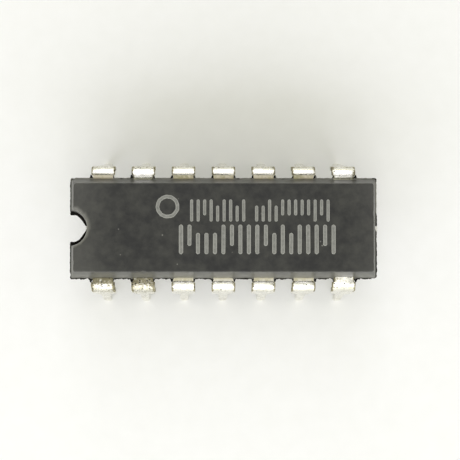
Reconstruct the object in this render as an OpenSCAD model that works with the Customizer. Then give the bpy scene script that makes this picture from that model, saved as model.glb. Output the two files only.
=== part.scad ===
// Dual in-line integrated circuit package: moulded body, formed leads and the
// lead frame, chip and bond wires that the moulding encloses.
// The origin is on the surface that the lead tips stand on, below the middle of
// the body. +X runs away from the index notch and +Z is up.

/* [Lead pattern] */
// Number of leads on each side of the body
pins_per_side = 7; // [4:1:8]
// Distance between neighbouring leads
lead_spacing = 2.54; // [2.3:0.01:2.8]
// Distance between the two rows, centre to centre, with the leads square
row_spacing = 7.62; // [7.2:0.01:10.2]
// Outward lean of the legs as shipped, before the part is pressed into a board
splay = 7; // [0:0.5:12]

/* [Body] */
// Length from the last lead's centre to the end of the body
end_margin = 2.08; // [1.8:0.01:2.6]
// Height of the moulding above the lead frame
upper_h = 1.6; // [1.2:0.05:2.2]
// Height of the moulding below the lead frame
lower_h = 1.65; // [1.2:0.05:2.2]
// Slope of the long sides from vertical
side_draft = 13; // [5:0.5:16]
// Slope of the ends from vertical
end_draft = 9.5; // [4:0.5:14]
// Radius of the upright corners at the parting line
corner_r = 0.1; // [0.05:0.05:0.5]
// Extra radius that the upright corners gain towards the flat faces
corner_growth = 0.05; // [0:0.05:0.2]
// Radius of the edges round the top and bottom faces
edge_r = 0.08; // [0.04:0.01:0.15]
// How far the parting band stands out from the drafted halves
parting_lip = 0.08; // [0.02:0.01:0.12]

/* [Index notch] */
// Depth of the opening through the parting band, from the end of the body
notch_depth = 1.05; // [0.95:0.05:1.4]
// Half the width of that opening
notch_r = 0.84; // [0.6:0.02:0.9]
// How far the notch's wall stands behind the deepest point of the opening
notch_ledge = 0.03; // [0.02:0.01:0.1]
// Slope of the notch's wall from vertical
notch_draft = 4; // [3:1:12]
// Radius of the rounded rim of the notch
notch_rim_r = 0.25; // [0.1:0.05:0.5]

/* [Ejector marks] */
// Radius of the two round marks on the underside
ejector_r = 0.9; // [0.5:0.1:1.2]
// Depth of the marks
ejector_depth = 0.06; // [0.02:0.02:0.12]
// Distance of each mark from the end of the body
ejector_inset = 4.3; // [3.5:0.1:5]

/* [Leads] */
// Thickness of the lead frame's sheet
lead_t = 0.25; // [0.2:0.01:0.3]
// Flat run of a lead between the body's side and the bend
shoulder_run = 0.235; // [0.2:0.005:0.4]
// Length of the narrower root outside the body, up to the cut dam bar
root_run = 0.18; // [0.1:0.01:0.2]
// Width of the lead's root
root_w = 1.27; // [1:0.01:1.4]
// Width of the shoulder and the upper leg
shoulder_w = 1.46; // [1.3:0.01:1.6]
// Width of the leg that enters the board
leg_w = 0.5; // [0.4:0.01:0.6]
// Inner radius of the bend
bend_r = 0.25; // [0.15:0.01:0.4]
// Height of the body's underside above the board
standoff = 0.65; // [0.5:0.05:1]
// Length of the legs below the board's surface
tip_drop = 3.3; // [2.9:0.05:3.8]
// Height over which the shoulder narrows to the leg
taper_h = 0.9; // [0.4:0.05:1.2]
// Length of the pointed end of a leg
point_h = 0.45; // [0.2:0.05:0.8]
// Width of a leg at its very tip
point_w = 0.26; // [0.15:0.01:0.4]

/* [Inner lead frame] */
// Length of a lead's anchor tab inside the body
anchor_depth = 0.9; // [0.7:0.05:1.1]
// Radius of the locking hole in the anchor tab
anchor_hole_r = 0.22; // [0.15:0.01:0.3]
// Width of a finger where it leaves the anchor tab
finger_w = 0.9; // [0.6:0.05:1]
// Width of a finger at its tip
finger_tip_w = 0.35; // [0.25:0.01:0.4]
// Length of the chip's mounting pad
pad_l = 3; // [2.6:0.1:3.4]
// Width of the chip's mounting pad
pad_w = 2.2; // [1.8:0.1:2.4]
// Distance from the pad's end to the fan of finger tips
fan_gap_end = 1.2; // [1:0.1:1.5]
// Distance from the pad's side to the fan of finger tips
fan_gap_side = 0.5; // [0.45:0.05:0.6]
// Angle of the first finger tip above the tie bars
first_tip_angle = 20; // [18:1:25]
// Depth by which the pad is set below the leads
downset = 0.3; // [0.15:0.05:0.4]
// Length of the sloping part of each tie bar
tie_jog = 0.5; // [0.4:0.05:0.8]
// Width of the tie bars
tie_w = 0.32; // [0.2:0.01:0.4]
// How far the cut ends of the tie bars stand out of the body
tie_stub = 0.05; // [0.02:0.01:0.1]

/* [Chip and wires] */
// Length of the silicon chip
die_l = 1.4; // [1:0.05:2]
// Width of the silicon chip
die_w = 1.2; // [1:0.05:1.6]
// Thickness of the silicon chip
die_t = 0.3; // [0.2:0.02:0.4]
// Thickness of the layer that holds the chip
attach_t = 0.03; // [0.02:0.01:0.06]
// Width of that layer round the chip
attach_rim = 0.08; // [0.04:0.01:0.15]
// Distance of the bond pads from the chip's edge
bond_inset = 0.1; // [0.08:0.01:0.15]
// Radius of a bond wire
wire_r = 0.015; // [0.0125:0.0025:0.025]
// Radius of the ball that a wire starts from
ball_r = 0.045; // [0.04:0.005:0.06]
// Height of that ball
ball_h = 0.03; // [0.02:0.005:0.04]
// Rise of a wire's loop above the chip
loop_h = 0.24; // [0.15:0.01:0.35]
// Distance from a finger's tip to the wire's end on it
stitch_back = 0.25; // [0.2:0.01:0.35]

/* [Hidden] */
$fn = 48;
corner_steps = 6;
edge_steps = 3;
rim_steps = 6;
wire_sides = 6;
loop_steps = 9;
loop_skew = 1.3;
fuse = 0.02;
overshoot = 1;

pin_count = 2 * pins_per_side;
frame_z = tip_drop + standoff + lower_h + lead_t / 2;
frame_top = frame_z + lead_t / 2;
frame_bottom = frame_z - lead_t / 2;
body_top = frame_top + upper_h;
body_bottom = frame_bottom - lower_h;
bend_out_r = bend_r + lead_t;
bend_y = row_spacing / 2 + lead_t / 2 - bend_out_r;
body_w = 2 * (bend_y - shoulder_run);
body_l = (pins_per_side - 1) * lead_spacing + 2 * end_margin;
anchor_y = body_w / 2 - anchor_depth;
fan_a = pad_l / 2 + fan_gap_end;
fan_b = pad_w / 2 + fan_gap_side;
pad_top = frame_top - downset;
die_top = pad_top + attach_t + die_t;
notch_wall_r = notch_depth + notch_ledge;
ejector_x = body_l / 2 - ejector_inset;

// Name of a piece that repeats once for every pin, such as lead_07.
function numbered(stem, pin) = str(stem, pin < 10 ? "0" : "", pin);

// Pins count anticlockwise from the notch, seen from above: along -Y, back along +Y.
function pin_side(pin) = pin <= pins_per_side ? -1 : 1;
function pin_place(pin) = pin <= pins_per_side ? pin - 1 : pin_count - pin;
function pin_x(pin) = (pin_place(pin) - (pins_per_side - 1) / 2) * lead_spacing;
function fan_angle(pin) = 180 - first_tip_angle - pin_place(pin) * (180 - 2 * first_tip_angle) / (pins_per_side - 1);

// Points of an arc about a centre, from one angle to another.
function arc(centre, r, from, to, steps) =
    [for (k = [0:steps]) centre + r * [cos(from + (to - from) * k / steps), sin(from + (to - from) * k / steps)]];

// Outline of a rectangle with rounded corners, at height z, anticlockwise.
function rounded_ring(l, w, r, z) = [
    for (quarter = [0:3])
        let (cx = (l / 2 - r) * (quarter == 0 || quarter == 3 ? 1 : -1))
        let (cy = (w / 2 - r) * (quarter < 2 ? 1 : -1))
        for (p = arc([cx, cy], r, 90 * quarter, 90 * quarter + 90, corner_steps)) [p.x, p.y, z]
];

// Closed skin over a stack of outlines that all have the same number of points.
module skin(rings) {
    n = len(rings[0]);
    last = len(rings) - 1;
    polyhedron(
        points = [for (ring = rings) for (p = ring) p],
        faces = concat(
            [[for (k = [0:n - 1]) k]],
            [for (i = [0:last - 1]) for (k = [0:n - 1]) [i * n + k, (i + 1) * n + k, (i + 1) * n + (k + 1) % n]],
            [for (i = [0:last - 1]) for (k = [0:n - 1]) [i * n + k, (i + 1) * n + (k + 1) % n, i * n + (k + 1) % n]],
            [[for (k = [n - 1:-1:0]) last * n + k]]
        )
    );
}

// Outlines of one drafted half of the moulding, from the parting band outwards.
// up is 1 for the upper half and -1 for the lower one.
function half_rings(up, h) = [
    for (k = [0:edge_steps + 1])
        let (turn = k == 0 ? 0 : 90 * (k - 1) / edge_steps)
        let (rise = k == 0 ? 0 : h - edge_r * (1 - sin(turn)))
        let (round_in = k == 0 ? 0 : edge_r * (1 - cos(turn)))
        let (grown = corner_r + corner_growth * rise / h)
        rounded_ring(
            body_l - 2 * (parting_lip + rise * tan(end_draft) + round_in),
            body_w - 2 * (parting_lip + rise * tan(side_draft) + round_in),
            grown,
            frame_z + up * (lead_t / 2 + rise)
        )
];

// The moulding before anything is cut from it: two drafted halves on the parting band.
module moulded_block() {
    lower = half_rings(-1, lower_h);
    skin(concat(
        [for (k = [len(lower) - 1:-1:0]) lower[k]],
        [rounded_ring(body_l, body_w, corner_r, frame_bottom), rounded_ring(body_l, body_w, corner_r, frame_top)],
        half_rings(1, upper_h)
    ));
}

// Half section of the notch above or below the parting band: a drafted wall with a round rim.
function notch_wall(h) =
    let (rim_x = notch_wall_r + (h - notch_rim_r * (1 - sin(notch_draft))) * tan(notch_draft) + notch_rim_r * cos(notch_draft))
    concat(
        [[0, 0], [notch_wall_r, 0]],
        arc([rim_x, h - notch_rim_r], notch_rim_r, 180 - notch_draft, 90, rim_steps),
        [[rim_x, h + overshoot], [0, h + overshoot]]
    );

// Half of the notch's space, round on the inside and straight out through the end of the body.
module notch_half(up, h) {
    wall = notch_wall(h);
    translate([-body_l / 2, 0, frame_z + up * lead_t / 2]) mirror([0, 0, up < 0 ? 1 : 0]) {
        rotate([0, 0, -90]) rotate_extrude(angle = 180) polygon(wall);
        rotate([90, 0, -90]) linear_extrude(overshoot)
            polygon(concat(wall, [for (k = [len(wall) - 2:-1:1]) [-wall[k].x, wall[k].y]]));
    }
}

// The index notch: a drafted wall above and below the parting band, and a narrower opening through the band.
module notch_cutter() {
    notch_half(1, upper_h);
    notch_half(-1, lower_h);
    translate([-body_l / 2 + notch_depth - notch_r, 0, frame_bottom - overshoot]) linear_extrude(lead_t + 2 * overshoot) {
        circle(r = notch_r);
        translate([-notch_depth - overshoot, -notch_r]) square([notch_depth + overshoot, 2 * notch_r]);
    }
}

// Round marks that the mould's ejector pins leave on the underside.
module ejector_marks() {
    for (side = [-1, 1])
        translate([side * ejector_x, 0, body_bottom - overshoot]) cylinder(r = ejector_r, h = overshoot + ejector_depth);
}

// Where a lead's finger ends, in the half of the frame that has +Y.
function finger_tip(pin) = [fan_a * cos(fan_angle(pin)), fan_b * sin(fan_angle(pin))];
function finger_run(pin) = finger_tip(pin) - [pin_x(pin), anchor_y];
function finger_dir(pin) = finger_run(pin) / norm(finger_run(pin));

// Flat part of a lead in the sheet's plane: shoulder, root, anchor tab and finger.
module lead_blank(pin) {
    side_y = body_w / 2;
    x = pin_x(pin);
    tip = finger_tip(pin);
    across = [-finger_dir(pin).y, finger_dir(pin).x] * finger_tip_w / 2;
    difference() {
        union() {
            translate([x - shoulder_w / 2, side_y + root_run]) square([shoulder_w, bend_y - side_y - root_run]);
            translate([x - root_w / 2, anchor_y]) square([root_w, side_y + root_run + fuse - anchor_y]);
            polygon([
                [x + finger_w / 2, anchor_y + fuse],
                [x - finger_w / 2, anchor_y + fuse],
                tip - across,
                tip + across
            ]);
        }
        translate([x, side_y - anchor_depth / 2]) circle(r = anchor_hole_r);
    }
}

// Outline of a leg, laid flat with the bend at y = 0 and the tip at y = -leg_l.
module leg_outline(leg_l) {
    seat = leg_l - tip_drop / cos(splay);
    shoulder_end = seat - taper_h;
    half = [
        [shoulder_w / 2, 0],
        [shoulder_w / 2, -shoulder_end],
        [leg_w / 2, -seat],
        [leg_w / 2, -leg_l + point_h],
        [point_w / 2, -leg_l]
    ];
    polygon(concat(half, [for (k = [len(half) - 1:-1:0]) [-half[k].x, half[k].y]]));
}

// Bend and leg of a lead, in the plane of its own centre line.
module lead_leg() {
    bend_z = frame_bottom - bend_r;
    leg_l = (bend_z + bend_r * sin(splay)) / cos(splay);
    translate([0, bend_y, bend_z]) rotate([90, 0, 90]) rotate([0, 0, splay]) {
        rotate_extrude(angle = 90 - splay) translate([bend_r, -shoulder_w / 2]) square([lead_t, shoulder_w]);
        translate([bend_r, 0, 0]) rotate([0, 90, 0]) linear_extrude(lead_t) leg_outline(leg_l);
    }
}

// A whole lead, punched and formed from one sheet.
module lead(pin) {
    color("gainsboro") mirror([0, pin_side(pin) < 0 ? 1 : 0, 0]) {
        translate([0, 0, frame_bottom]) linear_extrude(lead_t) lead_blank(pin);
        translate([pin_x(pin), 0, 0]) lead_leg();
    }
}

// Mounting pad for the chip, set down between two tie bars that reach the body's ends.
module die_pad() {
    far_end = body_l / 2 + tie_stub;
    near_end = -body_l / 2 + notch_depth - tie_stub;
    slope_end = pad_l / 2 + tie_jog;
    low = -downset;
    line = [[near_end, 0], [-slope_end, 0], [-pad_l / 2, low], [pad_l / 2, low], [slope_end, 0], [far_end, 0]];
    color("silver") translate([0, 0, frame_z]) {
        translate([0, tie_w / 2, 0]) rotate([90, 0, 0]) linear_extrude(tie_w) polygon(concat(
            [for (p = line) [p.x, p.y + lead_t / 2]],
            [for (k = [len(line) - 1:-1:0]) [line[k].x, line[k].y - lead_t / 2]]
        ));
        translate([-pad_l / 2, -pad_w / 2, low - lead_t / 2]) cube([pad_l, pad_w, lead_t]);
    }
}

// Layer of conductive adhesive under the chip.
module die_attach() {
    color("darkgray") translate([-die_l / 2 - attach_rim, -die_w / 2 - attach_rim, pad_top])
        cube([die_l + 2 * attach_rim, die_w + 2 * attach_rim, attach_t]);
}

// The silicon chip.
module die() {
    color("slategray") translate([-die_l / 2, -die_w / 2, pad_top + attach_t]) cube([die_l, die_w, die_t]);
}

// Bond pad of a pin on the chip: where the pin's direction meets the row of pads.
function bond_pad(pin) =
    let (dir = [cos(fan_angle(pin)), sin(fan_angle(pin))])
    let (reach_x = (die_l / 2 - bond_inset) / max(abs(dir.x), 0.001))
    let (reach_y = (die_w / 2 - bond_inset) / max(abs(dir.y), 0.001))
    dir * min(reach_x, reach_y);

// Height and reach of a wire's centre line, u running from the ball (0) to the finger (1).
// Both ends stand upright on the surface that they are bonded to.
function loop_point(u, reach, start_z, drop) =
    [reach * pow((1 - cos(180 * u)) / 2, loop_skew), start_z - drop * u + loop_h * sin(180 * u)];

// A gold wire from a bond pad to the pin's finger: ball, looping wire and flattened end.
module bond_wire(pin) {
    start = bond_pad(pin);
    end = finger_tip(pin) - finger_dir(pin) * stitch_back;
    reach = norm(end - start);
    heading = (end - start) / reach;
    start_z = die_top + ball_h;
    drop = start_z - frame_top;
    centres = [for (k = [0:loop_steps]) loop_point(k / loop_steps, reach, start_z, drop)];
    ahead = [
        for (k = [0:loop_steps])
            k == 0 ? [0, 1] : k == loop_steps ? [0, -1] : centres[k + 1] - centres[k - 1]
    ];
    wire_rings = [
        for (k = [0:loop_steps])
            let (along = ahead[k] / norm(ahead[k]))
            wire_ring(start, heading, centres[k], along, k == loop_steps ? 2 * wire_r : wire_r)
    ];
    ball_rings = [
        for (z = [die_top, start_z]) wire_ring(start, heading, [0, z], [0, 1], ball_r)
    ];
    color("gold") mirror([0, pin_side(pin) < 0 ? 1 : 0, 0]) skin(concat(ball_rings, wire_rings));
}

// One outline of a wire, square to its run; along is the run's direction in the wire's own upright plane.
function wire_ring(start, heading, centre, along, r) = [
    for (k = [0:wire_sides - 1])
        let (turn = 360 * k / wire_sides)
        let (reach = centre.x + r * cos(turn) * along.y)
        let (rise = centre.y - r * cos(turn) * along.x)
        let (aside = r * sin(turn))
        [start.x + heading.x * reach - heading.y * aside, start.y + heading.y * reach + heading.x * aside, rise]
];

// The moulded body, closed round everything that it encloses.
module body() {
    color([0.22, 0.22, 0.21]) difference() {
        moulded_block();
        notch_cutter();
        ejector_marks();
        for (pin = [1:pin_count])
            mirror([0, pin_side(pin) < 0 ? 1 : 0, 0])
                translate([0, 0, frame_bottom]) linear_extrude(lead_t) lead_blank(pin);
        die_pad();
        die_attach();
        die();
        for (pin = [1:pin_count]) bond_wire(pin);
    }
}

body();
die_pad();
die_attach();
die();
for (pin = [1:pin_count]) lead(pin);
for (pin = [1:pin_count]) bond_wire(pin);
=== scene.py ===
"""Dual in-line integrated circuit package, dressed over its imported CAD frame.

The moulded housing, the solder on the legs and the marks on the top face are
surfaces worked out with numpy. The leads, the mounting pad, the chip and its
wires are the CAD solids themselves, each with a finish of its own.

The origin is on the surface that the lead tips stand on, +X runs away from the
index notch and +Z is up. Sizes are in millimetres until a mesh is made.
"""
import logging
import math
from abc import ABC, abstractmethod
from dataclasses import dataclass, field
from enum import Enum
from typing import Iterator, Optional, Sequence, Union

import bpy
import numpy as np
from bpy.types import ID, Material, Node, NodeSocket, NodeTree, Object, World
from mathutils import Matrix, Vector


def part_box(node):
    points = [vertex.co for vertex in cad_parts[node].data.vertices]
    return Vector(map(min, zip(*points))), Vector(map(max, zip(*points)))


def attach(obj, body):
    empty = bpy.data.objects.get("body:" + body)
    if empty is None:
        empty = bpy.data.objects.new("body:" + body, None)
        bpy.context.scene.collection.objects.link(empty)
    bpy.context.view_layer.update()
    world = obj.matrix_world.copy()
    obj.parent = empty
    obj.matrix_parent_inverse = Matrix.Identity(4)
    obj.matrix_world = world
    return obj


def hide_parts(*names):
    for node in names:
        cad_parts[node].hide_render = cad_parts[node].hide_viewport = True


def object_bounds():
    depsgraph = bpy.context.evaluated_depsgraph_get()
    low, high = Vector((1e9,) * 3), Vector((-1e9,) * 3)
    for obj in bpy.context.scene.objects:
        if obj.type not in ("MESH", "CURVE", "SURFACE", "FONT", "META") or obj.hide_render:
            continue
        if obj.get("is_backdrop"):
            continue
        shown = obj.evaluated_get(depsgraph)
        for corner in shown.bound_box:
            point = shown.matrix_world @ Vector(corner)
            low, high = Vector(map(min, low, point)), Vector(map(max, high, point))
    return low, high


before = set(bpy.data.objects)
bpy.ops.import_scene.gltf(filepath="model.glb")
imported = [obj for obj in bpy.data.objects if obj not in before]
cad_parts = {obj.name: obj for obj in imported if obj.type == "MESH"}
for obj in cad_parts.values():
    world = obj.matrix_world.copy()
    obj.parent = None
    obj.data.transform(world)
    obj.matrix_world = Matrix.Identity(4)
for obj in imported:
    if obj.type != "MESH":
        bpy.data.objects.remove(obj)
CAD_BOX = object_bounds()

log = logging.getLogger("package")

MM = 0.001
BODY = "root"
SHARP_ANGLE = 35

# Inputs of a Mix node that mixes colours: Blender gives several of its inputs the same name.
FACTOR, A, B = 0, 6, 7

Array = np.ndarray
Number = Union[float, Array]
Input = Union[float, str, Sequence[float], Node, NodeSocket]


def linear(hex_colour: str) -> tuple[float, float, float, float]:
    """Turns an sRGB hex colour into linear light.

    Args:
        hex_colour: Colour as "#rrggbb".

    Returns:
        Red, green, blue and full opacity.
    """
    part = np.array([int(hex_colour[k : k + 2], 16) for k in (1, 3, 5)]) / 255
    light = np.where(part <= 0.04045, part / 12.92, ((part + 0.055) / 1.055) ** 2.4)
    return (*light.tolist(), 1.0)


def per(size_mm: float) -> float:
    """Scale of a pattern whose cells are size_mm wide, on coordinates in metres."""
    return 1 / (size_mm * MM)


def add(
    tree: NodeTree,
    kind: str,
    inputs: Optional[dict[Union[str, int], Input]] = None,
    **settings: object,
) -> Node:
    """Adds a shader node with its settings, its values and its links.

    Args:
        tree: Node tree that gets the node.
        kind: Blender's name of the node, without its first word.
        inputs: For each input, a value, a colour as "#rrggbb", or what it is linked to: an output, or a
            node, which stands for the first of its outputs that is in use.
        settings: The node's own settings.

    Returns:
        The new node.
    """
    node = tree.nodes.new("ShaderNode" + kind)
    for name, value in settings.items():
        setattr(node, name, value)
    for name, value in (inputs or {}).items():
        if isinstance(value, Node):
            value = next(each for each in value.outputs if each.enabled)
        if isinstance(value, NodeSocket):
            tree.links.new(value, node.inputs[name])
        else:
            node.inputs[name].default_value = linear(value) if isinstance(value, str) else value
    return node


def empty_tree(owner: Union[Material, World]) -> NodeTree:
    """Node tree of a material or a world, cleared of the nodes that it starts with."""
    owner.use_nodes = True
    owner.node_tree.nodes.clear()
    return owner.node_tree


def ripple(place: Array, around: float, wave: float, seed: int, terms: int = 16) -> Array:
    """Unevenness along a closed line: a sum of sines that each come round whole.

    Args:
        place: Distance of each point along the line.
        around: Length of the whole line.
        wave: Middle wavelength.
        seed: Start of the random draw of wavelengths and phases.
        terms: Number of sines.

    Returns:
        A height at each point, mostly between -1 and 1.
    """
    draw = np.random.default_rng(seed)
    turns = np.round(around / wave * draw.uniform(0.5, 1.7, terms))
    phase = draw.uniform(0, 2 * math.pi, terms)
    waves = np.sin(2 * math.pi * place[..., None] * turns / around + phase)
    return waves.sum(axis=-1) / math.sqrt(terms)


def lumps(points: Array, wave: float, seed: int, terms: int = 24) -> Array:
    """Rounded lumps in space: a sum of plane waves that run in random directions.

    Args:
        points: Points in millimetres, their coordinates on the last axis.
        wave: Middle wavelength.
        seed: Start of the random draw of directions, wavelengths and phases.
        terms: Number of waves.

    Returns:
        A height at each point, mostly between -1 and 1.
    """
    draw = np.random.default_rng(seed)
    heading = draw.normal(size=(terms, 3))
    heading /= np.linalg.norm(heading, axis=1, keepdims=True)
    rate = 2 * math.pi / wave * draw.uniform(0.6, 1.6, (terms, 1))
    phase = draw.uniform(0, 2 * math.pi, terms)
    return np.sin(points @ (heading * rate).T + phase).sum(axis=-1) / math.sqrt(terms)


def smooth_step(value: Array, low: Number, high: Number) -> Array:
    """Rises from 0 at low to 1 at high as 3t^2 - 2t^3; it falls where high is below low."""
    t = np.clip((value - low) / (high - low), 0, 1)
    return t * t * (3 - 2 * t)


def bell(value: Array, middle: Number, width: Number, power: int = 2) -> Array:
    """Bell curve exp(-((value - middle) / width)^power), which is boxier with a higher even power."""
    return np.exp(-(((value - middle) / width) ** power))


def lift(flat: Array, height: Array) -> Array:
    """Puts outlines, levels by points by x and y, at their heights: levels by points by x, y and z."""
    tall = np.broadcast_to(height[:, None, None], (*flat.shape[:2], 1))
    return np.concatenate([flat, tall], axis=-1)


@dataclass
class Shell:
    """A closed surface: rings of points, each joined to the next, and a cap on the first and the last.

    Attributes:
        rings: Array of rings by points by coordinates, in millimetres.
        finish: Number of the finish of each face between two rings, or None where all have the first.
        value: Value of each point that a material reads, or None.
        looped: True where the last ring joins the first one, so that no caps are needed.
    """

    rings: Array
    finish: Optional[Array] = None
    value: Optional[Array] = None
    looped: bool = False

    def next_rings(self, rings: Array) -> tuple[Array, Array]:
        """Each ring that another one follows, and the ring that follows it."""
        return (rings, np.roll(rings, -1, axis=0)) if self.looped else (rings[:-1], rings[1:])

    def faces(self, first: int = 0) -> tuple[list[list[int]], list[int]]:
        """Faces and their finishes, with points counted from first.

        Quad (i, k) joins points k and k + 1 of ring i to the same points of ring i + 1.
        """
        rows, cols = self.rings.shape[:2]
        number = first + np.arange(rows * cols).reshape(rows, cols)
        here, up = self.next_rings(number)
        quads = np.stack([here, np.roll(here, -1, axis=1), np.roll(up, -1, axis=1), up], axis=-1)
        caps = [] if self.looped else [number[0, ::-1].tolist(), number[-1].tolist()]
        finish = np.zeros(here.size, int) if self.finish is None else self.finish.ravel()
        return quads.reshape(-1, 4).tolist() + caps, finish.tolist() + [0] * len(caps)

    def volume(self) -> float:
        """Six times the volume inside, by the divergence theorem; negative where the faces look inwards."""
        rings = self.rings - self.rings.mean(axis=(0, 1))
        here, up = self.next_rings(rings)
        side, over = np.roll(here, -1, axis=1), np.roll(up, -1, axis=1)
        inside = (here * (np.cross(side, over) + np.cross(over, up))).sum()
        if not self.looped:
            for ring, sign in ((rings[-1], 1), (rings[0], -1)):
                inside += sign * (ring[0] * np.cross(ring, np.roll(ring, -1, axis=0)).sum(axis=0)).sum()
        return float(inside)

    def outward(self) -> "Shell":
        """The same shell with its faces looking outwards."""
        if self.volume() > 0:
            return self
        finish, value = (None if each is None else each[::-1] for each in (self.finish, self.value))
        return Shell(self.rings[::-1], finish, value, self.looped)


def new_object(name: str, data: ID) -> Object:
    """Adds an object to the scene, at the origin."""
    made = bpy.data.objects.new(name, data)
    bpy.context.scene.collection.objects.link(made)
    return made


def make_piece(
    name: str,
    shells: Sequence[Shell],
    finishes: Sequence[Material],
    value_name: str = "",
    sharp_angle: float = SHARP_ANGLE,
) -> Object:
    """Makes a mesh piece at the origin out of closed shells, and turns them outwards.

    Args:
        name: Name of the piece.
        shells: Its closed surfaces.
        finishes: Its materials, in the order that the shells count them.
        value_name: Name of the value that a material reads at each point, where the shells have one.
        sharp_angle: Angle in degrees past which an edge stays sharp.

    Returns:
        The new object.
    """
    shells = [shell.outward() for shell in shells]
    points = np.concatenate([shell.rings.reshape(-1, 3) for shell in shells])
    faces, finish_of = [], []
    count = 0
    for shell in shells:
        more, which = shell.faces(count)
        faces += more
        finish_of += which
        count += shell.rings[..., 0].size
    mesh = bpy.data.meshes.new(name)
    mesh.from_pydata((points * MM).tolist(), [], faces)
    for finish in finishes:
        mesh.materials.append(finish)
    mesh.polygons.foreach_set("material_index", finish_of)
    mesh.polygons.foreach_set("use_smooth", [True] * len(faces))
    if value_name:
        values = np.concatenate([shell.value.ravel() for shell in shells]).astype(np.float32)
        mesh.attributes.new(value_name, "FLOAT", "POINT").data.foreach_set("value", values)
    mesh.update()
    mesh.set_sharp_from_angle(angle=math.radians(sharp_angle))
    return new_object(name, mesh)


def report(piece: Object) -> None:
    """Logs a piece's name and how many faces it has."""
    log.info("%s: %d faces", piece.name, len(piece.data.polygons))


class Finish(ABC):
    """A material whose patterns have real sizes and stay with the object."""

    name: str

    @abstractmethod
    def shader(self, tree: NodeTree, place: NodeSocket) -> Node:
        """Adds the nodes of this finish.

        Args:
            tree: The material's tree.
            place: Place of each point on the object.

        Returns:
            The node that the surface shows.
        """

    def material(self) -> Material:
        """Builds the material."""
        made = bpy.data.materials.new(self.name)
        tree = empty_tree(made)
        place = add(tree, "TexCoord").outputs["Object"]
        add(tree, "OutputMaterial", {"Surface": self.shader(tree, place)})
        return made


@dataclass(frozen=True)
class FilledEpoxy(Finish):
    """Black epoxy moulding compound, transfer moulded in a spark-eroded mould.

    The silica in it and the eroded mould leave an even, matt, finely grained
    skin. It looks dark grey from above and pale at a glancing angle, where it
    mirrors what lies beside it. Its two ends are painted paler, and so are its
    walls, its ledges and the notch's rim by the value "painted_sheen" of each
    point: a painted sheen for the light that they catch.
    """

    name: str = "filled_epoxy_spark_eroded"
    resin: str = "#1C1C1B"
    resin_pale: str = "#363631"
    painted_sheen: str = "#8E8D85"
    speck: str = "#8F8E86"
    roughness: float = 0.46
    wall_roughness: float = 0.33
    cloud_mm: float = 0.7
    grain_mm: float = 0.09  # the real grain is 0.03 mm, too fine to show
    speck_mm: float = 0.9
    top_mm: float = 7.45
    bottom_mm: float = 3.95
    half_length_mm: float = 9.7
    paler_left_mm: float = 0.45
    ends_from: float = 0.7
    ends_painted_sheen: float = 0.39

    def shader(self, tree: NodeTree, place: NodeSocket) -> Node:
        """Adds the nodes of the resin, as Finish.shader says."""
        cloud, grain = (
            add(tree, "TexNoise", {"Vector": place, "Scale": per(size), "Detail": detail, "Roughness": rough})
            for size, detail, rough in ((self.cloud_mm, 5.0, 0.6), (self.grain_mm, 3.0, 0.7))
        )
        tone = add(tree, "MapRange", {"Value": cloud, "From Min": 0.36, "From Max": 0.68})
        clouded = add(tree, "Mix", {FACTOR: tone, A: self.resin, B: self.resin_pale}, data_type="RGBA")
        # Painted sheen: the ends of the part are painted paler than its middle, the left one most.
        axes = add(tree, "SeparateXYZ", {"Vector": place})
        shifted = add(tree, "Math", {0: axes.outputs["X"], 1: self.paler_left_mm * MM}, operation="SUBTRACT")
        along = add(tree, "Math", {0: shifted}, operation="ABSOLUTE")
        across = add(tree, "Math", {0: axes.outputs["Y"]}, operation="ABSOLUTE")
        reach = add(tree, "Math", {0: across, 1: 0.2, 2: along}, operation="MULTIPLY_ADD")
        end = self.half_length_mm * MM
        span = {"Value": reach, "From Min": self.ends_from * end, "From Max": end, "To Max": self.ends_painted_sheen}
        ramp = add(tree, "MapRange", span)
        ends = add(tree, "Math", {0: ramp, 1: 2.0}, operation="POWER")
        sheen_share = add(tree, "Attribute", attribute_name="painted_sheen", attribute_type="GEOMETRY").outputs["Fac"]
        pale = add(tree, "Math", {0: ends, 1: sheen_share}, operation="MAXIMUM")
        resin = add(tree, "Mix", {FACTOR: pale, A: clouded, B: self.painted_sheen}, data_type="RGBA")
        # Stray grains of filler and dust: the middles of a few cells, in pale dots 0.03 to 0.06 mm wide.
        cells = add(tree, "TexVoronoi", {"Vector": place, "Scale": per(self.speck_mm), "Randomness": 1.0})
        pick = add(tree, "SeparateColor", {"Color": cells.outputs["Color"]})
        near = add(tree, "MapRange", {"Value": cells, "From Min": 0.07, "From Max": 0.03})
        few = add(tree, "MapRange", {"Value": pick, "From Min": 0.5, "From Max": 0.9})
        dot = add(tree, "Math", {0: near, 1: few}, operation="MULTIPLY")
        skin = add(tree, "Mix", {FACTOR: dot, A: resin, B: self.speck}, data_type="RGBA")
        # The drafted walls slide out of the mould, which leaves them smoother than the two flat faces.
        middle = (self.top_mm + self.bottom_mm) / 2 * MM
        half = (self.top_mm - self.bottom_mm) / 2 * MM
        height = add(tree, "Math", {0: axes.outputs["Z"], 1: middle}, operation="SUBTRACT")
        from_mid = add(tree, "Math", {0: height}, operation="ABSOLUTE")
        span = {"Value": from_mid, "From Min": half - 0.09 * MM, "From Max": half - 0.01 * MM}
        face = add(tree, "MapRange", {**span, "To Min": self.wall_roughness, "To Max": self.roughness})
        matt = add(tree, "Math", {0: grain, 1: 0.14, 2: face}, operation="MULTIPLY_ADD")
        bump = add(tree, "Bump", {"Height": grain, "Strength": 0.25, "Distance": 0.01 * MM})
        look = {"Base Color": skin, "Roughness": matt, "IOR": 1.5, "Normal": bump}
        return add(tree, "BsdfPrincipled", look)


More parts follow.
